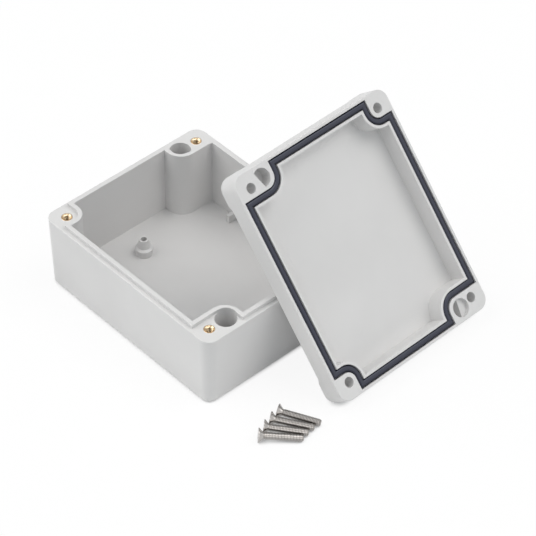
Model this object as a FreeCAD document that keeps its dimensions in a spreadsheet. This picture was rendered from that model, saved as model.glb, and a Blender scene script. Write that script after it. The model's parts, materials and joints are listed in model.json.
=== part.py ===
import FreeCAD, Part
import math
import os
import Sketcher

# Small plastic project box with its lid taken off, a rubber seal, four brass
# inserts and four loose countersunk screws. Millimetres throughout.
# The origin is the centre of the underside of the base. X runs along the long
# side, Y along the short side and Z is up. Seen from above, the front corner is
# at plus X minus Y, the right one at plus X plus Y, the back one at minus X
# plus Y and the left one at minus X minus Y.

doc = FreeCAD.newDocument("project_box")

# Driving sizes
SIZES = [
    # base moulding
    ("box_length", 120.0),
    ("box_width", 100.0),
    ("ledge_height", 42.0),
    ("corner_radius", 6.0),
    ("draft_inset", 1.5),
    ("foot_fillet", 1.5),
    ("ledge_fillet", 0.5),
    ("floor_thickness", 5.0),
    # line of the seal, shared by tongue, groove and gasket
    ("seal_inset", 3.36),
    ("screw_inset", 8.15),
    ("screw_notch_radius", 6.5),
    ("well_notch_radius", 7.7),
    ("well_pitch", 8.95),
    ("notch_leg", 0.1),
    ("tongue_width", 2.3),
    ("tongue_rise", 2.05),
    ("tongue_fillet", 0.2),
    # wells for the wall screws
    ("well_inset_x", 8.0),
    ("well_inset_y", 18.43),
    ("well_diameter", 10.85),
    ("well_floor", 3.0),
    ("wall_screw_bore", 4.8),
    # brass inserts
    ("insert_diameter", 5.6),
    ("insert_length", 8.0),
    ("insert_bore", 3.3),
    ("insert_chamfer", 0.3),
    ("insert_clearance", 0.05),
    ("pilot_bore", 4.4),
    ("pilot_reach", 6.0),
    # posts that carry a circuit board
    ("post_x", 37.8),
    ("post_y", 5.4),
    ("post_foot_diameter", 9.0),
    ("post_foot_rise", 3.9),
    ("post_shoulder_rise", 0.8),
    ("post_neck_diameter", 6.4),
    ("post_tip_diameter", 4.8),
    ("post_neck_rise", 4.7),
    ("post_bore", 3.1),
    ("post_bore_depth", 8.0),
    # short ribs at the foot of the long walls
    ("rib_x", 26.5),
    ("rib_thickness", 2.0),
    ("rib_length", 5.3),
    ("rib_rise", 4.7),
    ("rib_root", 1.0),
    # lid moulding
    ("lid_thickness", 12.8),
    ("roof_thickness", 3.0),
    ("lid_outer_fillet", 1.0),
    ("lid_inner_fillet", 0.4),
    ("bevel", 2.2),
    ("bevel_run", 4.0),
    ("pad_length", 11.0),
    ("groove_width", 3.85),
    ("groove_depth", 3.2),
    ("lip_width", 1.35),
    ("pan_draft", 2.0),
    ("screw_hole", 5.2),
    ("countersink", 8.6),
    # recesses of the lid over the wells, each partly closed by a web
    ("access_inset_x", 6.65),
    ("access_inset_y", 16.1),
    ("access_diameter", 9.4),
    ("access_depth", 7.0),
    ("front_web_offset", 1.87),
    ("front_web_turn", -19.0),
    ("back_web_offset", 0.2),
    ("back_web_turn", 9.0),
    ("back_web_sink", 2.2),
    # rubber seal
    ("gasket_clearance", 0.3),
    ("gasket_sink", 0.2),
    ("gasket_fillet", 1.1),
    # lid leaning on the base
    ("lean_angle", 49.4),
    ("lean_yaw", 1.29),
    ("lean_y", 43.08),
    ("lean_gap", 0.05),
    # loose screws
    ("head_diameter", 7.3),
    ("head_rim", 0.35),
    ("shank_diameter", 3.7),
    ("screw_length", 21.4),
    ("tip_chamfer", 0.4),
    ("slot_length", 4.4),
    ("slot_width", 0.9),
    ("slot_depth", 1.7),
    ("screw_gap", 0.05),
    ("screw_stagger", 2.55),
    ("screw_heading", 47.5),
    ("first_screw_x", 90.8),
    ("first_screw_y", -46.3),
]

sheet = doc.addObject("Spreadsheet::Sheet", "sizes")
for row, (alias, value) in enumerate(SIZES, start=1):
    sheet.set("A%d" % row, alias)
    sheet.set("B%d" % row, str(value))
    sheet.setAlias("B%d" % row, alias)
doc.recompute()

# Places that several pieces share
HALF_X = "sizes.box_length / 2"
HALF_Y = "sizes.box_width / 2"
SCREW_X = "(sizes.box_length / 2 - sizes.screw_inset)"
SCREW_Y = "(sizes.box_width / 2 - sizes.screw_inset)"
PAN_DEPTH = "(sizes.lid_thickness - sizes.roof_thickness)"
LIP_INSET = "(sizes.groove_width / 2 + sizes.lip_width)"
PAN_INSET = "(%s + %s * tan(sizes.pan_draft))" % (LIP_INSET, PAN_DEPTH)
NOTCH_X = "(sizes.box_length / 2 - sizes.seal_inset - %s - sizes.notch_leg)" % PAN_INSET
NOTCH_Y = "(sizes.box_width / 2 - sizes.screw_inset - sizes.well_pitch)"
WELL_X = "(sizes.box_length / 2 - sizes.well_inset_x)"
WELL_Y = "(sizes.box_width / 2 - sizes.well_inset_y)"
ACCESS_X = "(sizes.box_length / 2 - sizes.access_inset_x)"
ACCESS_Y = "(sizes.box_width / 2 - sizes.access_inset_y)"
TOP = "(sizes.ledge_height + sizes.tongue_rise)"

# The two corners with a mounting well, and the other two
WELL_CORNERS = ((1, -1), (-1, 1))
PLAIN_CORNERS = ((-1, -1), (1, 1))
ALL_CORNERS = WELL_CORNERS + PLAIN_CORNERS

TINY = 1e-7


def number(expression):
    """Value of an expression of the sheet, as a plain number."""
    value = sheet.evalExpression(expression)
    return float(getattr(value, "Value", value))


def new_body(name):
    body = doc.addObject("PartDesign::Body", name)
    body.Label = name
    return body


def new_sketch(body, name, plane="XY_Plane", height="0"):
    """Sketch on an origin plane of its own body, lifted along that plane's normal."""
    sketch = body.newObject("Sketcher::SketchObject", name)
    for feature in body.Origin.OriginFeatures:
        if feature.Role == plane:
            sketch.AttachmentSupport = (feature, [""])
    sketch.MapMode = "FlatFace"
    sketch.setExpression("AttachmentOffset.Base.z", height)
    return sketch


def fix(sketch, kind, geometry, point, expression):
    """Hold one point, or a radius where point is None, at an expression's value.

    In a sketch the two axes are geometry -1 and -2, and the origin is the first
    point of geometry -1.
    """
    value = number(expression)
    if point is None:
        index = sketch.addConstraint(Sketcher.Constraint(kind, geometry, value))
    elif abs(value) < TINY:
        axis = -2 if kind == "DistanceX" else -1
        sketch.addConstraint(Sketcher.Constraint("PointOnObject", geometry, point, axis))
        return
    else:
        index = sketch.addConstraint(Sketcher.Constraint(kind, -1, 1, geometry, point, value))
    sketch.setExpression("Constraints[%d]" % index, expression)


def fix_centre(sketch, geometry, x, y):
    """Hold the centre of a circle or an arc, which is its third point."""
    fix(sketch, "DistanceX", geometry, 3, x)
    fix(sketch, "DistanceY", geometry, 3, y)


def signed(sign, expression):
    return expression if sign > 0 else "-(%s)" % expression


def add_circle(sketch, x, y, diameter):
    centre = FreeCAD.Vector(number(x), number(y), 0)
    circle = Part.Circle(centre, FreeCAD.Vector(0, 0, 1), number(diameter) / 2)
    index = sketch.addGeometry(circle)
    fix_centre(sketch, index, x, y)
    fix(sketch, "Diameter", index, None, diameter)


def quarter_arc(circle, start):
    """A quarter of a circle, from a start angle in degrees."""
    return Part.ArcOfCircle(circle, math.radians(start), math.radians(start + 90))


def add_polygon(sketch, points):
    """Closed outline through points that are pairs of expressions."""
    corners = [FreeCAD.Vector(number(x), number(y), 0) for x, y in points]
    first = sketch.GeometryCount
    count = len(corners)
    for i in range(count):
        sketch.addGeometry(Part.LineSegment(corners[i], corners[(i + 1) % count]))
    for i in range(count):
        after = first + (i + 1) % count
        sketch.addConstraint(Sketcher.Constraint("Coincident", first + i, 2, after, 1))
    for i, (x, y) in enumerate(points):
        fix(sketch, "DistanceX", first + i, 1, x)
        fix(sketch, "DistanceY", first + i, 1, y)


def join_tangent(sketch, a, a_point, b, b_point):
    sketch.addConstraint(Sketcher.Constraint("Tangent", a, a_point, b, b_point))


def add_rounded_rectangle(sketch, half_x, half_y, radius):
    """Centred rectangle with four equal corner arcs."""
    hx = number(half_x)
    hy = number(half_y)
    r = number(radius)
    up = FreeCAD.Vector(0, 0, 1)
    vector = FreeCAD.Vector
    bottom = sketch.addGeometry(Part.LineSegment(vector(r - hx, -hy, 0), vector(hx - r, -hy, 0)))
    right = sketch.addGeometry(Part.LineSegment(vector(hx, r - hy, 0), vector(hx, hy - r, 0)))
    top = sketch.addGeometry(Part.LineSegment(vector(hx - r, hy, 0), vector(r - hx, hy, 0)))
    left = sketch.addGeometry(Part.LineSegment(vector(-hx, hy - r, 0), vector(-hx, r - hy, 0)))
    arcs = []
    for sx, sy, start in ((1, -1, 270), (1, 1, 0), (-1, 1, 90), (-1, -1, 180)):
        circle = Part.Circle(vector(sx * (hx - r), sy * (hy - r), 0), up, r)
        arcs.append(sketch.addGeometry(quarter_arc(circle, start)))
    lines = (bottom, right, top, left)
    for i in range(4):
        join_tangent(sketch, lines[i], 2, arcs[i], 1)
        join_tangent(sketch, arcs[i], 2, lines[(i + 1) % 4], 1)
    for line in (bottom, top):
        sketch.addConstraint(Sketcher.Constraint("Horizontal", line))
    for line in (right, left):
        sketch.addConstraint(Sketcher.Constraint("Vertical", line))
    for arc in arcs[1:]:
        sketch.addConstraint(Sketcher.Constraint("Equal", arcs[0], arc))
    fix(sketch, "Radius", arcs[0], None, radius)
    fix(sketch, "DistanceX", right, 1, half_x)
    fix(sketch, "DistanceX", left, 1, signed(-1, half_x))
    fix(sketch, "DistanceY", top, 1, half_y)
    fix(sketch, "DistanceY", bottom, 1, signed(-1, half_y))


def add_seal_outline(sketch, inset):
    """Closed outline that runs beside the seal line at a distance.

    The seal runs along the four sides and steps inward round each corner, so
    that the screws and the wells stay outside it. A positive inset moves the
    outline inward: the sides come in and the corner arcs grow.
    """
    side_x = "(%s - sizes.seal_inset - (%s))" % (HALF_X, inset)
    side_y = "(%s - sizes.seal_inset - (%s))" % (HALF_Y, inset)
    small = "(sizes.screw_notch_radius + (%s))" % inset
    large = "(sizes.well_notch_radius + (%s))" % inset
    notches = (
        (1, 1, SCREW_X, SCREW_Y, small, 180),
        (-1, 1, NOTCH_X, NOTCH_Y, large, 270),
        (-1, -1, SCREW_X, SCREW_Y, small, 0),
        (1, -1, NOTCH_X, NOTCH_Y, large, 90),
    )
    ax = number(side_x)
    ay = number(side_y)
    vector = FreeCAD.Vector
    up = vector(0, 0, 1)
    chains = []
    for sx, sy, centre_x, centre_y, radius, start in notches:
        cx = sx * number(centre_x)
        cy = sy * number(centre_y)
        r = number(radius)
        leg_x = sketch.addGeometry(
            Part.LineSegment(vector(sx * ax, cy - sy * r, 0), vector(cx, cy - sy * r, 0))
        )
        circle = Part.Circle(vector(cx, cy, 0), up, r)
        arc = sketch.addGeometry(quarter_arc(circle, start))
        leg_y = sketch.addGeometry(
            Part.LineSegment(vector(cx - sx * r, cy, 0), vector(cx - sx * r, sy * ay, 0))
        )
        near, far = (2, 1) if sx * sy > 0 else (1, 2)
        join_tangent(sketch, leg_x, 2, arc, near)
        join_tangent(sketch, arc, far, leg_y, 1)
        sketch.addConstraint(Sketcher.Constraint("Horizontal", leg_x))
        sketch.addConstraint(Sketcher.Constraint("Vertical", leg_y))
        fix_centre(sketch, arc, signed(sx, centre_x), signed(sy, centre_y))
        fix(sketch, "Radius", arc, None, radius)
        fix(sketch, "DistanceX", leg_x, 1, signed(sx, side_x))
        fix(sketch, "DistanceY", leg_y, 2, signed(sy, side_y))
        chains.append((leg_x, leg_y))
    (leg_x_1, leg_y_1), (leg_x_2, leg_y_2), (leg_x_3, leg_y_3), (leg_x_4, leg_y_4) = chains
    ends = (
        (leg_y_1, 2, leg_y_2, 2),
        (leg_x_2, 1, leg_x_3, 1),
        (leg_y_3, 2, leg_y_4, 2),
        (leg_x_4, 1, leg_x_1, 1),
    )
    for a, a_point, b, b_point in ends:
        start = sketch.getPoint(a, a_point)
        end = sketch.getPoint(b, b_point)
        side = sketch.addGeometry(Part.LineSegment(start, end))
        sketch.addConstraint(Sketcher.Constraint("Coincident", a, a_point, side, 1))
        sketch.addConstraint(Sketcher.Constraint("Coincident", b, b_point, side, 2))


def add_feature(body, kind, name, sketch, length, into_normal, taper=None):
    """Pad or pocket of a length; into_normal says whether it follows the sketch's normal."""
    before = body.Shape.Volume if body.Tip else 0.0
    feature = body.newObject("PartDesign::" + kind, name)
    feature.Profile = sketch
    feature.setExpression("Length", length)
    feature.Reversed = into_normal == (kind == "Pocket")
    if taper:
        feature.setExpression("TaperAngle", taper)
    sketch.Visibility = False
    doc.recompute()
    change = body.Shape.Volume - before
    if change * (1 if kind == "Pad" else -1) <= 0:
        raise ValueError("%s did not change the volume as it should" % name)
    return feature


def add_dress_up(body, kind, name, sizes_by_property, test):
    """Fillet or chamfer on the edges that pass the test."""
    base = body.Tip
    names = []
    for i, edge in enumerate(base.Shape.Edges, start=1):
        if test(edge):
            names.append("Edge%d" % i)
    feature = body.newObject("PartDesign::" + kind, name)
    feature.Base = (base, names)
    for property_name, expression in sizes_by_property.items():
        feature.setExpression(property_name, expression)
    doc.recompute()
    return feature


def lies_at(height):
    """Test for edges that lie flat at a height."""
    level = number(height)

    def test(edge):
        box = edge.BoundBox
        return abs(box.ZMin - level) < 1e-4 and abs(box.ZMax - level) < 1e-4

    return test


def rings(body, name, height, places, diameter):
    """Sketch with one circle at each place."""
    sketch = new_sketch(body, name, height=height)
    for x, y in places:
        add_circle(sketch, x, y, diameter)
    return sketch


def at_corners(corners, x, y):
    return [(signed(sx, x), signed(sy, y)) for sx, sy in corners]


# Base box
base = new_body("base_box")
LEDGE = "sizes.ledge_height"
FLOOR = "sizes.floor_thickness"

outline = new_sketch(base, "ledge_outline", height=LEDGE)
add_rounded_rectangle(outline, HALF_X, HALF_Y, "sizes.corner_radius")
add_feature(
    base, "Pad", "walls", outline, LEDGE, False,
    "-atan(sizes.draft_inset / sizes.ledge_height)",
)
add_dress_up(base, "Fillet", "foot_edge", {"Radius": "sizes.foot_fillet"}, lies_at("0"))
add_dress_up(base, "Fillet", "ledge_edge", {"Radius": "sizes.ledge_fillet"}, lies_at(LEDGE))

# Tongue that presses into the seal, and the space inside it down to the floor
outline = new_sketch(base, "tongue_outline", height=LEDGE)
add_seal_outline(outline, "-sizes.tongue_width / 2")
add_feature(base, "Pad", "tongue", outline, "sizes.tongue_rise", True)
outline = new_sketch(base, "cavity_outline", height=TOP)
add_seal_outline(outline, "sizes.tongue_width / 2")
add_feature(base, "Pocket", "cavity", outline, "%s - %s" % (TOP, FLOOR), False)
add_dress_up(base, "Fillet", "tongue_edge", {"Radius": "sizes.tongue_fillet"}, lies_at(TOP))

# Two wells outside the seal, which cut a little into the tongue; each has a bore
# for a wall screw
wells = at_corners(WELL_CORNERS, WELL_X, WELL_Y)
sketch = rings(base, "well_circles", TOP, wells, "sizes.well_diameter")
add_feature(base, "Pocket", "wells", sketch, "%s - sizes.well_floor" % TOP, False)
sketch = rings(base, "wall_screw_circles", "sizes.well_floor", wells, "sizes.wall_screw_bore")
add_feature(base, "Pocket", "wall_screw_bores", sketch, "sizes.well_floor", False)

# Seats for the inserts, with room for the screw tips under them
screws = at_corners(ALL_CORNERS, SCREW_X, SCREW_Y)
sketch = rings(
    base, "seat_circles", LEDGE, screws, "sizes.insert_diameter + 2 * sizes.insert_clearance"
)
add_feature(base, "Pocket", "insert_seats", sketch, "sizes.insert_length", False)
sketch = rings(
    base, "pilot_circles", "sizes.ledge_height - sizes.insert_length", screws,
    "sizes.pilot_bore",
)
add_feature(base, "Pocket", "pilot_bores", sketch, "sizes.pilot_reach", False)

# Board posts: foot, sloping shoulder, tapered neck and a blind bore
posts = (
    (signed(-1, "sizes.post_x"), signed(-1, "sizes.post_y")),
    ("sizes.post_x", "sizes.post_y"),
)
SHOULDER = "%s + sizes.post_foot_rise" % FLOOR
NECK = "%s + sizes.post_shoulder_rise" % SHOULDER
POST_TOP = "%s + sizes.post_neck_rise" % NECK
sketch = rings(base, "post_foot_circles", FLOOR, posts, "sizes.post_foot_diameter")
add_feature(base, "Pad", "post_feet", sketch, "sizes.post_foot_rise", True)
sketch = rings(base, "post_shoulder_circles", SHOULDER, posts, "sizes.post_foot_diameter")
add_feature(
    base, "Pad", "post_shoulders", sketch, "sizes.post_shoulder_rise", True,
    "-atan((sizes.post_foot_diameter - sizes.post_neck_diameter) / 2"
    " / sizes.post_shoulder_rise)",
)
sketch = rings(base, "post_neck_circles", NECK, posts, "sizes.post_neck_diameter")
add_feature(
    base, "Pad", "post_necks", sketch, "sizes.post_neck_rise", True,
    "-atan((sizes.post_neck_diameter - sizes.post_tip_diameter) / 2 / sizes.post_neck_rise)",
)
sketch = rings(base, "post_bore_circles", POST_TOP, posts, "sizes.post_bore")
add_feature(base, "Pocket", "post_bores", sketch, "sizes.post_bore_depth", False)

# Short ribs at the foot of the long walls, rooted a little way into them
WALL_Y = "(%s - sizes.seal_inset - sizes.tongue_width / 2)" % HALF_Y
RIB_NEAR = "(%s - sizes.rib_length)" % WALL_Y
RIB_ROOT = "(%s + sizes.rib_root)" % WALL_Y
RIB_OUT = "(sizes.rib_x + sizes.rib_thickness / 2)"
RIB_IN = "(sizes.rib_x - sizes.rib_thickness / 2)"
sketch = new_sketch(base, "rib_outlines", height=FLOOR)
for sign in (-1, 1):
    add_polygon(sketch, [
        (signed(sign, RIB_OUT), signed(-sign, RIB_NEAR)),
        (signed(sign, RIB_IN), signed(-sign, RIB_NEAR)),
        (signed(sign, RIB_IN), signed(-sign, RIB_ROOT)),
        (signed(sign, RIB_OUT), signed(-sign, RIB_ROOT)),
    ])
add_feature(base, "Pad", "ribs", sketch, "sizes.rib_rise", True)

# Lid, drawn as it lies when closed: mating face down at Z 0, outer face up
lid = new_body("lid")
LID_TOP = "sizes.lid_thickness"
outline = new_sketch(lid, "lid_outline")
add_rounded_rectangle(outline, HALF_X, HALF_Y, "sizes.corner_radius")
add_feature(lid, "Pad", "lid_block", outline, LID_TOP, True)
add_dress_up(lid, "Fillet", "outer_edge", {"Radius": "sizes.lid_outer_fillet"}, lies_at(LID_TOP))
add_dress_up(lid, "Fillet", "mating_edge", {"Radius": "sizes.lid_inner_fillet"}, lies_at("0"))

# Bevel along each side of the outer face, running out before the corner pads
sides = (
    ("front_bevel", 270, HALF_Y, HALF_X),
    ("right_bevel", 0, HALF_X, HALF_Y),
    ("rear_bevel", 90, HALF_Y, HALF_X),
    ("left_bevel", 180, HALF_X, HALF_Y),
)
for name, turn, reach, half_side in sides:
    wedge = lid.newObject("PartDesign::SubtractiveWedge", name)
    clear_length = "(%s - sizes.pad_length - sizes.bevel_run)" % half_side
    wide = "(%s + 2 * sizes.bevel_run)" % clear_length
    narrow = "(%s - sizes.bevel_run)" % clear_length
    limits = {
        "Ymin": "-sizes.bevel",
        "Ymax": "2 * sizes.bevel",
        "Xmin": "-2 * sizes.bevel",
        "Xmax": "sizes.bevel",
        "X2min": "sizes.bevel",
        "X2max": "sizes.bevel",
        "Zmin": "-" + wide,
        "Zmax": wide,
        "Z2min": "-" + narrow,
        "Z2max": narrow,
    }
    for property_name, expression in limits.items():
        wedge.setExpression(property_name, expression)
    wedge.setExpression(
        "Placement",
        "placement(vector(%s * cos(%d); %s * sin(%d); %s); rotation(%d; 0; -90))"
        % (reach, turn, reach, turn, LID_TOP, turn),
    )
    doc.recompute()

# Shallow space inside the seal, and the groove for the seal round it
outline = new_sketch(lid, "pan_outline")
add_seal_outline(outline, LIP_INSET)
add_feature(lid, "Pocket", "pan", outline, PAN_DEPTH, True, "-sizes.pan_draft")
outline = new_sketch(lid, "groove_outlines")
add_seal_outline(outline, "-sizes.groove_width / 2")
add_seal_outline(outline, "sizes.groove_width / 2")
add_feature(lid, "Pocket", "groove", outline, "sizes.groove_depth", True)

# Countersunk screw holes
sketch = rings(lid, "screw_hole_circles", "0", screws, "sizes.screw_hole")
add_feature(lid, "Pocket", "screw_holes", sketch, LID_TOP, True)
screw_x = number(SCREW_X)
screw_y = number(SCREW_Y)
hole_radius = number("sizes.screw_hole") / 2
lid_top = number(LID_TOP)


def is_screw_mouth(edge):
    curve = edge.Curve
    if not isinstance(curve, Part.Circle) or abs(curve.Radius - hole_radius) > TINY:
        return False
    centre = curve.Center
    at_screw = abs(abs(centre.x) - screw_x) < 1e-4 and abs(abs(centre.y) - screw_y) < 1e-4
    return at_screw and abs(centre.z - lid_top) < 1e-4


add_dress_up(
    lid, "Chamfer", "countersinks",
    {"Size": "(sizes.countersink - sizes.screw_hole) / 2"}, is_screw_mouth,
)

# Blind recesses over the wells, each with a straight web on the side of its
# screw; the web of the back one lies deeper, so its mouth is round
RADIUS = "(sizes.access_diameter / 2)"
sketch = new_sketch(lid, "recess_outlines")
for (sx, sy), web in zip(WELL_CORNERS, ("front", "back")):
    centre_x = signed(sx, ACCESS_X)
    centre_y = signed(sy, ACCESS_Y)
    offset = "sizes.%s_web_offset" % web
    turn = "sizes.%s_web_turn" % web
    half_chord = "sqrt(%s ^ 2 - %s ^ 2)" % (RADIUS, offset)
    ends = []
    for end in (-1, 1):
        ends.append((
            "(%s + %d * %s * cos(%s) - %d * %s * sin(%s))"
            % (centre_x, end, half_chord, turn, sy, offset, turn),
            "(%s + %d * %s * sin(%s) + %d * %s * cos(%s))"
            % (centre_y, end, half_chord, turn, sy, offset, turn),
        ))
    first, last = [FreeCAD.Vector(number(x), number(y), 0) for x, y in ends]
    middle = FreeCAD.Vector(
        number("%s + %d * %s * sin(%s)" % (centre_x, sy, RADIUS, turn)),
        number("%s - %d * %s * cos(%s)" % (centre_y, sy, RADIUS, turn)), 0,
    )
    line = sketch.addGeometry(Part.LineSegment(first, last))
    arc = sketch.addGeometry(Part.Arc(last, middle, first))
    for arc_point in (1, 2):
        near = sketch.getPoint(arc, arc_point).distanceToPoint(sketch.getPoint(line, 1))
        line_point = 1 if near < TINY else 2
        sketch.addConstraint(
            Sketcher.Constraint("Coincident", arc, arc_point, line, line_point)
        )
    fix_centre(sketch, arc, centre_x, centre_y)
    fix(sketch, "Radius", arc, None, RADIUS)
    for line_point, (x, y) in enumerate(ends, start=1):
        fix(sketch, "DistanceY", line, line_point, y)
add_feature(lid, "Pocket", "recesses", sketch, "sizes.access_depth", True)
mouths = at_corners(WELL_CORNERS[1:], ACCESS_X, ACCESS_Y)
sketch = rings(lid, "mouth_circle", "0", mouths, "sizes.access_diameter")
add_feature(lid, "Pocket", "round_mouth", sketch, "sizes.back_web_sink", True)

# Rubber seal, a closed ring in the groove a little below the mating face
gasket = new_body("lid_gasket")
outline = new_sketch(gasket, "gasket_outlines", height="sizes.gasket_sink")
GASKET_HALF = "(sizes.groove_width / 2 - sizes.gasket_clearance)"
add_seal_outline(outline, "-" + GASKET_HALF)
add_seal_outline(outline, GASKET_HALF)
add_feature(gasket, "Pad", "ring", outline, "sizes.groove_depth - sizes.gasket_sink", True)
add_dress_up(
    gasket, "Fillet", "ring_edges", {"Radius": "sizes.gasket_fillet"},
    lies_at("sizes.gasket_sink"),
)

# The lid leans: its rounded lower edge stands on the floor and its outer face
# rests on the rounded rim of the base near the right corner
TILT = "sizes.lean_angle"
YAW = "sizes.lean_yaw"
STAND_Z = (
    "((sizes.box_length / 2 - sizes.lid_outer_fillet) * sin(%s)"
    " + (sizes.lid_thickness - sizes.lid_outer_fillet) * cos(%s)"
    " + sizes.lid_outer_fillet)" % (TILT, TILT)
)
RIM_REACH = (
    "((sizes.box_length / 2 - sizes.corner_radius) * sin(%s) * cos(%s)"
    " + (sizes.box_width / 2 - sizes.corner_radius) * sin(%s) * sin(%s)"
    " + (sizes.corner_radius - sizes.ledge_fillet) * sin(%s)"
    " + sizes.ledge_fillet"
    " + (sizes.ledge_height - sizes.ledge_fillet) * cos(%s))"
    % (TILT, YAW, TILT, YAW, TILT, TILT)
)
STAND_X = (
    "((%s + sizes.lean_gap + sizes.lid_thickness - sizes.lean_y * sin(%s) * sin(%s)"
    " - %s * cos(%s)) / (sin(%s) * cos(%s)))"
    % (RIM_REACH, TILT, YAW, STAND_Z, TILT, TILT, YAW)
)
LEANING = "placement(vector(%s; sizes.lean_y; %s); rotation(%s; %s - 180; 0))" % (
    STAND_X, STAND_Z, YAW, TILT
)
lid.setExpression("Placement", LEANING)
gasket.setExpression("Placement", LEANING)

# Brass inserts, flush with the ledge
insert_names = {
    (1, -1): "insert_front",
    (-1, -1): "insert_left",
    (-1, 1): "insert_back",
    (1, 1): "insert_right",
}
for (sx, sy), name in insert_names.items():
    insert = new_body(name)
    sketch = new_sketch(insert, name + "_profile", plane="XZ_Plane")
    add_polygon(sketch, [
        ("sizes.insert_bore / 2 + sizes.insert_chamfer", "0"),
        ("sizes.insert_diameter / 2", "0"),
        ("sizes.insert_diameter / 2", "-sizes.insert_length"),
        ("sizes.insert_bore / 2", "-sizes.insert_length"),
        ("sizes.insert_bore / 2", "-sizes.insert_chamfer"),
    ])
    turned = insert.newObject("PartDesign::Revolution", name + "_turned")
    turned.Profile = sketch
    turned.ReferenceAxis = (sketch, ["V_Axis"])
    turned.Angle = 360
    insert.setExpression("Placement.Base.x", signed(sx, SCREW_X))
    insert.setExpression("Placement.Base.y", signed(sy, SCREW_Y))
    insert.setExpression("Placement.Base.z", LEDGE)

# Countersunk screws on the floor: each lies on its head's rim and its tip, with
# its head against the last one's shank and its tip beside the last one's tip
CONE = "(sizes.head_rim + (sizes.head_diameter - sizes.shank_diameter) / 2)"
DROP = (
    "atan((sizes.head_diameter - sizes.shank_diameter) / 2"
    " / (sizes.screw_length - sizes.head_rim - sizes.tip_chamfer))"
)
FAN = (
    "asin((sizes.head_diameter - sizes.shank_diameter) / 2"
    " / (sizes.screw_length - sizes.screw_stagger))"
)
HEAD_Z = "(sizes.head_rim * sin(%s) + sizes.head_diameter / 2 * cos(%s))" % (DROP, DROP)
ASIDE = "(sizes.head_diameter / 2 + sizes.shank_diameter / 2 + sizes.screw_gap)"
place_x = "sizes.first_screw_x"
place_y = "sizes.first_screw_y"
for count in range(4):
    name = "screw_%d" % (count + 1)
    screw = new_body(name)
    sketch = new_sketch(screw, name + "_profile", plane="XZ_Plane")
    add_polygon(sketch, [
        ("0", "0"),
        ("sizes.head_diameter / 2", "0"),
        ("sizes.head_diameter / 2", "sizes.head_rim"),
        ("sizes.shank_diameter / 2", CONE),
        ("sizes.shank_diameter / 2", "sizes.screw_length - sizes.tip_chamfer"),
        ("sizes.shank_diameter / 2 - sizes.tip_chamfer", "sizes.screw_length"),
        ("0", "sizes.screw_length"),
    ])
    turned = screw.newObject("PartDesign::Revolution", name + "_turned")
    turned.Profile = sketch
    turned.ReferenceAxis = (sketch, ["V_Axis"])
    turned.Angle = 360
    doc.recompute()
    arms = (("long", "sizes.slot_length / 2", "sizes.slot_width / 2"),
            ("cross", "sizes.slot_width / 2", "sizes.slot_length / 2"))
    for arm, half_x, half_y in arms:
        sketch = new_sketch(screw, "%s_%s_slot" % (name, arm))
        add_polygon(sketch, [
            (signed(-1, half_x), signed(-1, half_y)),
            (half_x, signed(-1, half_y)),
            (half_x, half_y),
            (signed(-1, half_x), half_y),
        ])
        add_feature(screw, "Pocket", "%s_%s_cut" % (name, arm), sketch, "sizes.slot_depth", True)
    heading = "(sizes.screw_heading * 1 deg - %d * %s)" % (count, FAN)
    screw.setExpression(
        "Placement",
        "placement(vector(%s; %s; %s); rotation(%s; 90 deg + %s; 0))"
        % (place_x, place_y, HEAD_Z, heading, DROP),
    )
    doc.recompute()
    place_x = "(%s + sizes.screw_stagger * cos(%s) - %s * sin(%s))" % (
        place_x, heading, ASIDE, heading
    )
    place_y = "(%s + sizes.screw_stagger * sin(%s) + %s * cos(%s))" % (
        place_y, heading, ASIDE, heading
    )

doc.recompute()

# Every object is sound and every piece is one valid solid
for item in doc.Objects:
    if "Invalid" in item.State or "Error" in item.State:
        raise ValueError("%s is %s" % (item.Name, item.State))
bodies = [item for item in doc.Objects if item.TypeId == "PartDesign::Body"]
for body in bodies:
    shape = body.Shape
    if shape.isNull() or not shape.isValid() or len(shape.Solids) != 1:
        raise ValueError("%s is not one valid solid" % body.Label)

os.makedirs("parts", exist_ok=True)
for body in bodies:
    body.Shape.exportStep("parts/%s.step" % body.Label)
    box = body.Shape.BoundBox
    print("%-14s volume %10.2f  X %.2f to %.2f  Y %.2f to %.2f  Z %.2f to %.2f" % (
        body.Label, body.Shape.Volume, box.XMin, box.XMax,
        box.YMin, box.YMax, box.ZMin, box.ZMax,
    ))
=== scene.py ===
# %% [markdown]
# A small plastic project box with its lid off
#
# The base of the box stands open, the lid leans on its right rim and four
# screws lie in front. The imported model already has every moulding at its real
# size and place, so this lesson adds what the solids leave out: the threads of
# the screws and of the brass inserts, the finishes, the light and the camera.

# %% Load the fixed frame
import json
import math
import bpy
from mathutils import Matrix, Vector

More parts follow.
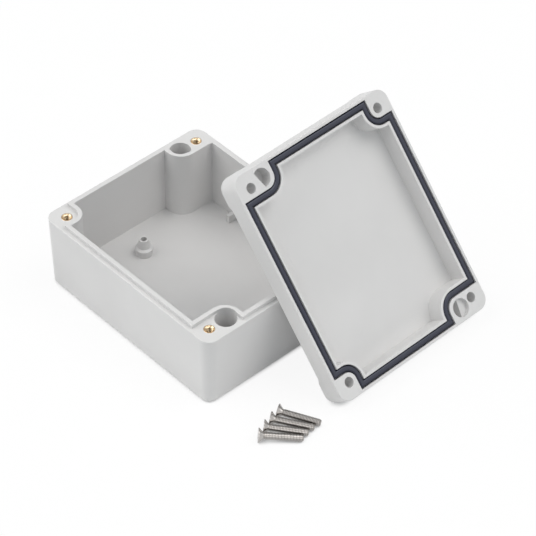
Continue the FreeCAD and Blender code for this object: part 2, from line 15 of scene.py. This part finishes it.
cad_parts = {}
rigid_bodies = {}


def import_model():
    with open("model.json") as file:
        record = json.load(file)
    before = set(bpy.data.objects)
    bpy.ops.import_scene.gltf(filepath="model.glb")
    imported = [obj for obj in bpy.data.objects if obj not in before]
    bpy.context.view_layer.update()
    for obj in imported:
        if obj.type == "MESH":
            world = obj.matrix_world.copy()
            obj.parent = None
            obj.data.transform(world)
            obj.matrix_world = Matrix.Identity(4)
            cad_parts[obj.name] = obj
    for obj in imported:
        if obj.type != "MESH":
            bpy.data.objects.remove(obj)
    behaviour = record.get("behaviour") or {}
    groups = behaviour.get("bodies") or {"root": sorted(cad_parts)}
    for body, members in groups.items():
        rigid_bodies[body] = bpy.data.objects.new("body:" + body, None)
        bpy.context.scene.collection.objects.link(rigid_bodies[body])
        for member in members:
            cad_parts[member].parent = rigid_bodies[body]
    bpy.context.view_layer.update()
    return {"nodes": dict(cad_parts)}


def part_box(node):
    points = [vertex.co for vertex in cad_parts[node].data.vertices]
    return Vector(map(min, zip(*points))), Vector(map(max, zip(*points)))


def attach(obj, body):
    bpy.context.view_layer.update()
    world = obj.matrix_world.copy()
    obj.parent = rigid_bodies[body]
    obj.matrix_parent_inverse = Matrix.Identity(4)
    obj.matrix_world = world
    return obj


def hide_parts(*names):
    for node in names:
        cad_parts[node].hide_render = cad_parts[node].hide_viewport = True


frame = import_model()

nodes = frame["nodes"]
MM = 0.001
print("nodes:", ", ".join(sorted(nodes)))

# %% [markdown]
# Working like a modeller
#
# Operators act on whatever is selected, and a script can't see the selection.
# So each step starts from nothing selected, names the one object that it works
# on, and picks the vertices or faces that it needs by their place.


# %% Helpers for selecting
def deselect_objects():
    bpy.ops.object.select_all(action="DESELECT")


def take(piece):
    """Makes one object the only one selected, and the active one."""
    deselect_objects()
    piece.select_set(True)
    bpy.context.view_layer.objects.active = piece


def edit(piece, mode="VERT"):
    take(piece)
    bpy.ops.object.mode_set(mode="EDIT")
    bpy.ops.mesh.select_mode(type=mode)


def leave_edit():
    bpy.ops.object.mode_set(mode="OBJECT")


def select_vertices(piece, test):
    """Selects the vertices whose place passes the test, from edit mode."""
    bpy.ops.mesh.select_all(action="DESELECT")
    leave_edit()
    for vertex in piece.data.vertices:
        vertex.select = test(vertex.co)
    bpy.ops.object.mode_set(mode="EDIT")


def apply_modifier(piece, modifier):
    take(piece)
    bpy.ops.object.modifier_apply(modifier=modifier.name)


def point_outwards(piece):
    edit(piece)
    bpy.ops.mesh.select_all(action="SELECT")
    bpy.ops.mesh.remove_doubles(threshold=0.001 * MM)
    bpy.ops.mesh.normals_make_consistent(inside=False)
    leave_edit()


# %% [markdown]
# Turned bodies
#
# Screws and inserts are round parts from a lathe. Each starts as a circle, and
# its ring is extruded along the axis and scaled to the next radius, again and
# again, the way a profile is walked on a lathe. The pivot is given each time,
# because with no window the pivot setting is ignored.


# %% Walk a ring along a turned profile
def walk_ring(stations):
    """Extrudes the selected ring through (radius, height) stations."""
    radius, height = stations[0]
    for next_radius, next_height in stations[1:]:
        bpy.ops.mesh.extrude_region_move(
            TRANSFORM_OT_translate={"value": (0, 0, (next_height - height) * MM)}
        )
        ratio = next_radius / radius
        bpy.ops.transform.resize(
            value=(ratio, ratio, 1), center_override=(0, 0, next_height * MM)
        )
        radius, height = next_radius, next_height


# %% [markdown]
# A screw thread
#
# A thread is one small tooth that climbs as it goes round. The Screw modifier
# does just that: it turns a closed profile about the axis and lifts it by one
# pitch a turn. The tooth's root is sunk a little into the shank, so that the
# two read as one piece of metal, and its open ends are filled.


# %% Make a thread
ROOT_SHARE = 0.44      # half the tooth's width at its root, as a share of the pitch
THREAD_STEPS = 36      # faces in one turn
ROOT_SINK = 0.12       # how deep the tooth's root sinks into the metal


def make_thread(name, root, crest, pitch, start, turns, flat):
    """A helical tooth from the root radius to the crest radius, in millimetres."""
    bpy.ops.mesh.primitive_plane_add(
        size=1, location=(0, 0, start * MM), rotation=(math.pi / 2, 0, 0)
    )
    tooth = bpy.context.object
    tooth.name = name
    bpy.ops.object.transform_apply(location=True, rotation=True, scale=True)
    half_root = pitch * ROOT_SHARE
    half_crest = pitch * flat
    for vertex in tooth.data.vertices:
        outer = vertex.co.x > 0
        half = half_crest if outer else half_root
        side = 1 if vertex.co.z > start * MM else -1
        vertex.co = Vector(((crest if outer else root) * MM, 0, (start + side * half) * MM))
    climb = tooth.modifiers.new("climb", "SCREW")
    climb.axis = "Z"
    climb.screw_offset = pitch * MM
    climb.iterations = turns
    climb.steps = THREAD_STEPS
    climb.render_steps = THREAD_STEPS
    climb.use_merge_vertices = False
    climb.use_smooth_shade = False
    apply_modifier(tooth, climb)
    edit(tooth, "EDGE")
    bpy.ops.mesh.select_all(action="SELECT")
    bpy.ops.mesh.fill_holes(sides=4)
    leave_edit()
    point_outwards(tooth)
    print(name, "has", len(tooth.data.polygons), "faces over", turns, "turns")
    return tooth


# %% [markdown]
# The screw
#
# Each screw is a countersunk machine screw with a cross recess. Its head faces
# down the axis from height zero, so the ring is walked from the rim over the
# cone and along the shank to the bevelled tip. The shank is thinner than the
# thread by the depth of the teeth.

# %% Sizes of the screw
HEAD_RADIUS = 3.65
HEAD_RIM = 0.35
CREST = 1.85
CORE = 1.57
LENGTH = 21.4
TIP_BEVEL = 0.4
PITCH = 0.7
RIM_BEVEL = 0.12
NECK = 0.3
cone_end = HEAD_RIM + HEAD_RADIUS - CORE
stations = [
    (HEAD_RADIUS - RIM_BEVEL, 0),
    (HEAD_RADIUS, RIM_BEVEL),
    (HEAD_RADIUS, HEAD_RIM),
    (CORE + NECK, cone_end - NECK),
    (CORE, cone_end + 0.2),
    (CORE, LENGTH - TIP_BEVEL),
    (CORE - TIP_BEVEL, LENGTH),
]
print("the cone ends", round(cone_end, 2), "mm down, the tip", LENGTH, "mm down")

# %% Turn the screw's body
deselect_objects()
bpy.ops.mesh.primitive_circle_add(
    vertices=72, radius=stations[0][0] * MM, fill_type="NGON", location=(0, 0, 0)
)
screw = bpy.context.object
screw.name = "machine_screw"
edit(screw)
bpy.ops.mesh.select_all(action="SELECT")
walk_ring(stations)
leave_edit()
point_outwards(screw)
print("turned body:", len(screw.data.polygons), "faces")

# %% [markdown]
# The cross recess
#
# The driver's recess is cut with two crossed wedges that narrow towards the
# bottom. A cube is a good start for a wedge: its lower face is selected by
# place and scaled down, and a Boolean takes the wedge out of the head.

# %% Cut the cross recess
RECESS_LENGTH = 4.4
RECESS_WIDTH = 0.9
WEDGE_BOTTOM = -0.5
WEDGE_TOP = 1.7
for turn in (0, 1):
    middle = (WEDGE_TOP + WEDGE_BOTTOM) / 2
    bpy.ops.mesh.primitive_cube_add(size=1, location=(0, 0, middle * MM))
    wedge = bpy.context.object
    wedge.scale = (RECESS_LENGTH * MM, RECESS_WIDTH * MM, (WEDGE_TOP - WEDGE_BOTTOM) * MM)
    wedge.rotation_euler.z = turn * math.pi / 2
    bpy.ops.object.transform_apply(location=True, rotation=True, scale=True)
    edit(wedge)
    select_vertices(wedge, lambda co: co.z > 0)
    bpy.ops.transform.resize(value=(0.5, 0.5, 1), center_override=(0, 0, 0))
    leave_edit()
    recess = screw.modifiers.new("recess", "BOOLEAN")
    recess.operation = "DIFFERENCE"
    recess.solver = "EXACT"
    recess.object = wedge
    apply_modifier(screw, recess)
    bpy.data.objects.remove(wedge)
print("with its cross recess:", len(screw.data.polygons), "faces")

# %% Add the thread to the shank
THREAD_START = 3.1
THREAD_TURNS = 25
thread = make_thread(
    "screw_thread", CORE - ROOT_SINK, CREST, PITCH, THREAD_START, THREAD_TURNS, flat=0.24
)
take(screw)
thread.select_set(True)
bpy.ops.object.join()
bpy.ops.object.shade_smooth_by_angle(angle=math.radians(30))
# Depth in the thread, kept so that the steel can be darkened in the grooves: painted shade
groove = screw.data.attributes.new("groove", "FLOAT", "POINT")
for vertex in screw.data.vertices:
    radius = vertex.co.xy.length / MM
    on_shank = vertex.co.z > (cone_end - NECK) * MM
    groove.data[vertex.index].value = (CREST - radius) / (CREST - CORE) if on_shank else 0
print("screw:", len(screw.data.polygons), "faces")

# %% [markdown]
# Laying out the screws
#
# A countersunk screw on a flat floor touches it with the head's rim and with
# the tip, so it leans a few degrees. The four lie as a fan: each head is tucked
# against its neighbour's shank, and the tips meet side by side.

# %% Lay four copies on the floor
STAGGER = 2.55
GAP = 0.05
FIRST_HEADING = 47.5
FIRST_HEAD = (90.8, -46.3)
drop = math.atan((HEAD_RADIUS - CREST) / (LENGTH - HEAD_RIM - TIP_BEVEL))
fan = math.asin((HEAD_RADIUS - CREST) / (LENGTH - STAGGER))
head_height = HEAD_RIM * math.sin(drop) + HEAD_RADIUS * math.cos(drop)
heading = math.radians(FIRST_HEADING)
head = Vector((*FIRST_HEAD, head_height))
for number in range(1, 5):
    copy = screw.copy()
    copy.data = screw.data.copy()
    copy.name = f"threaded_screw_{number}"
    bpy.context.collection.objects.link(copy)
    turn = Matrix.Rotation(heading, 4, "Z") @ Matrix.Rotation(math.pi / 2 + drop, 4, "Y")
    copy.matrix_world = Matrix.Translation(head * MM) @ turn
    take(copy)
    bpy.ops.object.transform_apply(location=True, rotation=True, scale=True)
    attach(copy, "root")
    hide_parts(f"screw_{number}")
    print(copy.name, "head at", [round(value, 2) for value in head], "mm")
    along = Vector((math.cos(heading), math.sin(heading), 0))
    aside = Vector((-along.y, along.x, 0))
    head = head + STAGGER * along + (HEAD_RADIUS + CREST + GAP) * aside
    heading -= fan
bpy.data.objects.remove(screw)

# %% [markdown]
# Brass inserts
#
# The lid's screws bite into brass bushes that are pressed into the base. Only
# the top ring and the first turns of the thread show. The ring is walked down
# the outside, back up the bore and over a wide bevel, and bridged to its start.

# %% Turn one insert
OUTER = 2.8
BORE = 1.65
THREAD_ROOT = 1.85
DEEP = 8.0
RING_BEVEL = 0.15
MOUTH_BEVEL = 0.55
MOUTH_SINK = 0.02
stations = [
    (OUTER - RING_BEVEL, 0),
    (OUTER, -RING_BEVEL),
    (OUTER, -DEEP),
    (THREAD_ROOT, -DEEP),
    (THREAD_ROOT, -0.6),
    (THREAD_ROOT + MOUTH_BEVEL, -MOUTH_SINK),
]
deselect_objects()
bpy.ops.mesh.primitive_circle_add(
    vertices=72, radius=stations[0][0] * MM, location=(0, 0, 0)
)
insert = bpy.context.object
insert.name = "threaded_insert"
edit(insert)
bpy.ops.mesh.select_all(action="SELECT")
walk_ring(stations)
select_vertices(insert, lambda co: co.z > -1.5 * MOUTH_SINK * MM)
bpy.ops.mesh.bridge_edge_loops()
leave_edit()
point_outwards(insert)
tooth = make_thread(
    "insert_thread", THREAD_ROOT + 0.1, BORE, PITCH, start=-DEEP + 0.6, turns=10, flat=0.2
)
take(insert)
tooth.select_set(True)
bpy.ops.object.join()
bpy.ops.object.shade_smooth_by_angle(angle=math.radians(30))
print("insert:", len(insert.data.polygons), "faces")

# %% Press a copy into each corner
for corner in ("front", "left", "back", "right"):
    low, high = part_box(f"insert_{corner}")
    copy = insert.copy()
    copy.data = insert.data.copy()
    copy.name = f"brass_insert_{corner}"
    bpy.context.collection.objects.link(copy)
    copy.location = ((low[0] + high[0]) / 2, (low[1] + high[1]) / 2, high[2])
    take(copy)
    bpy.ops.object.transform_apply(location=True, rotation=True, scale=True)
    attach(copy, "root")
    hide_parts(f"insert_{corner}")
    print(copy.name, "top at", round(high[2] / MM, 2), "mm")
bpy.data.objects.remove(insert)

# %% [markdown]
# Finishes are node graphs
#
# Each finish starts from one Principled shader. Patterns read Object
# coordinates, which are metres here, so a noise with a scale of 1000 has
# features of about a millimetre. A small helper keeps the graphs short.


# %% Helpers for finishes
def new_finish(name, metallic=0.0):
    material = bpy.data.materials.new(name)
    material.use_nodes = True
    shader = material.node_tree.nodes["Principled BSDF"]
    shader.inputs["Metallic"].default_value = metallic
    return material, shader


def add_node(material, kind, **settings):
    node = material.node_tree.nodes.new(kind)
    for key, value in settings.items():
        setattr(node, key, value)
    return node


def noise(material, scale, detail=2.0, distortion=0.0):
    """Noise on Object coordinates."""
    place = add_node(material, "ShaderNodeTexCoord")
    pattern = add_node(material, "ShaderNodeTexNoise")
    pattern.inputs["Scale"].default_value = scale
    pattern.inputs["Detail"].default_value = detail
    pattern.inputs["Distortion"].default_value = distortion
    material.node_tree.links.new(place.outputs["Object"], pattern.inputs["Vector"])
    return pattern


def blend_colours(material, factor, dark, light):
    """Mixes two colours by a pattern."""
    ramp = add_node(material, "ShaderNodeValToRGB")
    ramp.color_ramp.elements[0].position = 0.3
    ramp.color_ramp.elements[1].position = 0.7
    ramp.color_ramp.elements[0].color = (*dark, 1)
    ramp.color_ramp.elements[1].color = (*light, 1)
    material.node_tree.links.new(factor, ramp.inputs["Fac"])
    return ramp.outputs["Color"]


def spread(material, factor, low, high):
    """Maps a pattern onto a range of values."""
    node = add_node(material, "ShaderNodeMapRange")
    node.inputs["From Min"].default_value = 0.3
    node.inputs["From Max"].default_value = 0.7
    node.inputs["To Min"].default_value = low
    node.inputs["To Max"].default_value = high
    material.node_tree.links.new(factor, node.inputs["Value"])
    return node.outputs["Result"]


def add_bump(material, shader, height, distance, strength):
    bump = add_node(material, "ShaderNodeBump")
    bump.inputs["Strength"].default_value = strength
    bump.inputs["Distance"].default_value = distance
    links = material.node_tree.links
    links.new(height, bump.inputs["Height"])
    links.new(bump.outputs["Normal"], shader.inputs["Normal"])


# %% [markdown]
# Moulded plastic
#
# The housing is light grey moulded plastic with a fine satin texture from the
# eroded steel of the mould. Three scales make it: slow drifts of tone from the
# flow of the melt, a change of gloss over some millimetres, and a grain of a
# quarter of a millimetre in the bump.

# %% Grey plastic
plastic, shader = new_finish("grey_moulded_plastic")
links = plastic.node_tree.links
flow = noise(plastic, 22, detail=3, distortion=0.4)
tone = blend_colours(plastic, flow.outputs["Fac"], (0.671, 0.664, 0.660), (0.707, 0.700, 0.696))
links.new(tone, shader.inputs["Base Color"])
gloss = noise(plastic, 160, detail=2)
links.new(spread(plastic, gloss.outputs["Fac"], 0.38, 0.47), shader.inputs["Roughness"])
grain = noise(plastic, 3600, detail=1)
add_bump(plastic, shader, grain.outputs["Fac"], 0.03 * MM, 0.35)
print(plastic.name, "has", len(plastic.node_tree.nodes), "nodes")

# %% [markdown]
# Rubber
#
# The seal is black rubber with a bluish cast in its shine. It has a faint skin
# from extrusion, and its rounded back catches a soft band of light.

# %% Black rubber
rubber, shader = new_finish("black_rubber")
shader.inputs["Specular IOR Level"].default_value = 0.5
shader.inputs["Specular Tint"].default_value = (0.78, 0.84, 1.0, 1)
links = rubber.node_tree.links
patches = noise(rubber, 120, detail=3)
tone = blend_colours(rubber, patches.outputs["Fac"], (0.006, 0.006, 0.014), (0.010, 0.010, 0.020))
links.new(tone, shader.inputs["Base Color"])
links.new(spread(rubber, patches.outputs["Fac"], 0.15, 0.23), shader.inputs["Roughness"])
skin = noise(rubber, 2200, detail=2)
add_bump(rubber, shader, skin.outputs["Fac"], 0.02 * MM, 0.25)
print(rubber.name, "has", len(rubber.node_tree.nodes), "nodes")

# %% [markdown]
# Brass and steel
#
# Metal has no colour of its own beside its reflection, so the tint goes into
# the base colour and the character into the roughness. The brass is pale, with
# fine turning marks, and the screws have a slightly uneven passivated skin. An
# attribute on the screw, written when the thread was added, says how deep each
# point lies in the thread, and the grooves are darkened by it: this is painted
# shade in the roots of the thread, where real shade falls.

# %% Brass
brass, shader = new_finish("turned_brass", metallic=1.0)
links = brass.node_tree.links
marks = noise(brass, 900, detail=3)
tone = blend_colours(brass, marks.outputs["Fac"], (0.50, 0.38, 0.24), (0.62, 0.50, 0.35))
links.new(tone, shader.inputs["Base Color"])
links.new(spread(brass, marks.outputs["Fac"], 0.14, 0.24), shader.inputs["Roughness"])
add_bump(brass, shader, marks.outputs["Fac"], 0.01 * MM, 0.15)
print(brass.name, "has", len(brass.node_tree.nodes), "nodes")

# %% Steel
steel, shader = new_finish("screw_steel_skin", metallic=1.0)
links = steel.node_tree.links
skin = noise(steel, 700, detail=4)
tone = blend_colours(steel, skin.outputs["Fac"], (0.41, 0.393, 0.38), (0.50, 0.482, 0.467))
# Painted shade: the base colour is multiplied darker the deeper a point lies in the thread
groove = add_node(steel, "ShaderNodeAttribute", attribute_name="groove")
paint_groove_shade = add_node(steel, "ShaderNodeMix", data_type="RGBA", blend_type="MULTIPLY")
paint_groove_shade.inputs[7].default_value = (0.66, 0.65, 0.64, 1)
links.new(groove.outputs["Fac"], paint_groove_shade.inputs["Factor"])
links.new(tone, paint_groove_shade.inputs[6])
links.new(paint_groove_shade.outputs[2], shader.inputs["Base Color"])
links.new(spread(steel, skin.outputs["Fac"], 0.12, 0.18), shader.inputs["Roughness"])
fine = noise(steel, 2600, detail=2)
add_bump(steel, shader, fine.outputs["Fac"], 0.01 * MM, 0.12)
print(steel.name, "has", len(steel.node_tree.nodes), "nodes")


# %% Give each piece its finish
def dress(piece, material):
    piece.data.materials.clear()
    piece.data.materials.append(material)
    print(piece.name, "wears", material.name)


for name in ("base_box", "lid"):
    for place in nodes[name].material_slots:
        place.material = plastic
for place in nodes["lid_gasket"].material_slots:
    place.material = rubber
for piece in bpy.data.objects:
    if piece.name.startswith("threaded_screw_"):
        dress(piece, steel)
    if piece.name.startswith("brass_insert_"):
        dress(piece, brass)

# %% [markdown]
# The floor and the white surround
#
# The object stands on white paper that runs out of the picture. To the camera,
# and in mirrored and refracted rays, the paper is mostly pure white with a little
# real diffuse white mixed in, so only a faint shadow is left, as in a catalogue
# picture. Close under the screws the white is taken back by ambient occlusion,
# so that the narrow gaps between them stay dark. The world works the same way:
# those rays see plain white, and all others a weak and cool sky.

# %% Lay the paper
PAPER_WHITE = 0.93     # the paper's own diffuse white
deselect_objects()
bpy.ops.mesh.primitive_plane_add(size=6, location=(0, 0, -0.02 * MM))
floor = bpy.context.object
floor.name = "paper_floor"
paper, shader = new_finish("white_paper")
shader.inputs["Roughness"].default_value = 0.9
shader.inputs["Base Color"].default_value = (PAPER_WHITE, PAPER_WHITE, PAPER_WHITE, 1)
shader.inputs["Specular IOR Level"].default_value = 0.1
dress(floor, paper)

# %% Mix in pure white
PURE_SHARE = 0.9       # how much of the paper is pure white to the camera
CONTACT_REACH = 4      # millimetres over which contact shadows show
glow = add_node(paper, "ShaderNodeEmission")
glow.inputs["Strength"].default_value = 1.0
mix = add_node(paper, "ShaderNodeMixShader")
path = add_node(paper, "ShaderNodeLightPath")
mirrored = add_node(paper, "ShaderNodeMath", operation="ADD")
seen = add_node(paper, "ShaderNodeMath", operation="ADD")
share = add_node(paper, "ShaderNodeMath", operation="MULTIPLY")
share.inputs[1].default_value = PURE_SHARE
contact = add_node(paper, "ShaderNodeAmbientOcclusion", samples=16)
contact.inputs["Distance"].default_value = CONTACT_REACH * MM
open_sky = spread(paper, contact.outputs["AO"], 0.2, 1.0)
lit = add_node(paper, "ShaderNodeMath", operation="MULTIPLY")
links = paper.node_tree.links
links.new(path.outputs["Is Camera Ray"], seen.inputs[0])
links.new(path.outputs["Is Glossy Ray"], mirrored.inputs[0])
links.new(path.outputs["Is Transmission Ray"], mirrored.inputs[1])
links.new(mirrored.outputs[0], seen.inputs[1])
links.new(seen.outputs[0], share.inputs[0])
links.new(share.outputs[0], lit.inputs[0])
links.new(open_sky, lit.inputs[1])
links.new(lit.outputs[0], mix.inputs["Fac"])
links.new(shader.outputs["BSDF"], mix.inputs[1])
links.new(glow.outputs["Emission"], mix.inputs[2])
links.new(mix.outputs["Shader"], paper.node_tree.nodes["Material Output"].inputs["Surface"])
print("the paper is", PURE_SHARE, "pure white, away from what stands on it")

# %% World
SKY_TINT = (0.80, 0.92, 1.0, 1)
SKY_STRENGTH = 0.26
world = bpy.data.worlds.new("studio")
bpy.context.scene.world = world
world.use_nodes = True
tree = world.node_tree
ground = tree.nodes["Background"]
ground.inputs["Color"].default_value = SKY_TINT
ground.inputs["Strength"].default_value = SKY_STRENGTH
white = tree.nodes.new("ShaderNodeBackground")
white.inputs["Color"].default_value = (1, 1, 1, 1)
white.inputs["Strength"].default_value = 1.0
print("the world lights at", SKY_STRENGTH, "and shows white")

# %% Choose the sky or the white by the kind of ray
path = tree.nodes.new("ShaderNodeLightPath")
seen_or_mirrored = tree.nodes.new("ShaderNodeMath")
seen_or_mirrored.operation = "MAXIMUM"
background_ray = tree.nodes.new("ShaderNodeMath")
background_ray.operation = "MAXIMUM"
mix = tree.nodes.new("ShaderNodeMixShader")
tree.links.new(path.outputs["Is Camera Ray"], seen_or_mirrored.inputs[0])
tree.links.new(path.outputs["Is Glossy Ray"], seen_or_mirrored.inputs[1])
tree.links.new(seen_or_mirrored.outputs[0], background_ray.inputs[0])
tree.links.new(path.outputs["Is Transmission Ray"], background_ray.inputs[1])
tree.links.new(background_ray.outputs[0], mix.inputs["Fac"])
tree.links.new(ground.outputs["Background"], mix.inputs[1])
tree.links.new(white.outputs["Background"], mix.inputs[2])
tree.links.new(mix.outputs["Shader"], tree.nodes["World Output"].inputs["Surface"])
print("the world has", len(tree.nodes), "nodes")

# %% [markdown]
# Soft studio light
#
# A large lamp on the left is the key light. A weaker one on the right and one
# overhead keep the other side of each wall from going dark. A small weak one
# near the camera opens the shadow that the lid's rim throws into its pan, and
# draws a fine highlight along the rubber. The lamps are a little warm and the
# world a little cool, so lit faces and shadows differ in tint too.


# %% Lamps
WARM = (1.0, 0.976, 0.95)


def add_lamp(name, toward, strength, softness):
    """A soft, slightly warm distant lamp that shines from a direction."""
    data = bpy.data.lights.new(name, "SUN")
    data.energy = strength
    data.color = WARM
    data.angle = math.radians(softness)
    lamp = bpy.data.objects.new(name, data)
    bpy.context.collection.objects.link(lamp)
    lamp.rotation_euler = Vector(toward).to_track_quat("Z", "Y").to_euler()
    print(name, "shines with", strength)


add_lamp("left_softbox", (-0.5, -0.5, 0.7), 1.75, 60)
add_lamp("front_softbox", (0.6, -0.5, 0.62), 0.28, 35)
add_lamp("right_softbox", (0.5, 0.5, 0.7), 0.73, 60)
add_lamp("top_softbox", (0.3, 0.3, 0.9), 0.77, 40)

# %% [markdown]
# The camera
#
# The picture was taken with a long lens from the front corner, a little above
# forty degrees. The camera's axes are built from its azimuth, elevation and a
# small roll, and its place from the point that it looks at.

# %% Where the camera looks from
azimuth = math.radians(46.934)
elevation = math.radians(43.646)
roll = math.radians(-0.694)
target = Vector((0.02300, 0.02213, 0.02000))
back = Vector((
    math.cos(elevation) * math.sin(azimuth),
    -math.cos(elevation) * math.cos(azimuth),
    math.sin(elevation),
))
right = Vector((math.cos(azimuth), math.sin(azimuth), 0))
up = back.cross(right)
tilted_right = math.cos(roll) * right - math.sin(roll) * up
tilted_up = math.sin(roll) * right + math.cos(roll) * up
print("the camera looks back along", [round(value, 3) for value in back])

# %% Camera
FOCAL_PIXELS = 2926.3
PICTURE_PIXELS = 536
DISTANCE = 1.4265
lens = bpy.data.cameras.new("long_lens")
lens.sensor_width = 36
lens.lens = FOCAL_PIXELS / PICTURE_PIXELS * lens.sensor_width
camera = bpy.data.objects.new("camera", lens)
bpy.context.collection.objects.link(camera)
pose = Matrix((tilted_right, tilted_up, back)).transposed().to_4x4()
pose.translation = target + DISTANCE * back
camera.matrix_world = pose
bpy.context.scene.camera = camera
bpy.context.scene.view_settings.view_transform = "Standard"
print("lens", round(lens.lens, 1), "mm,", DISTANCE, "m from its target")
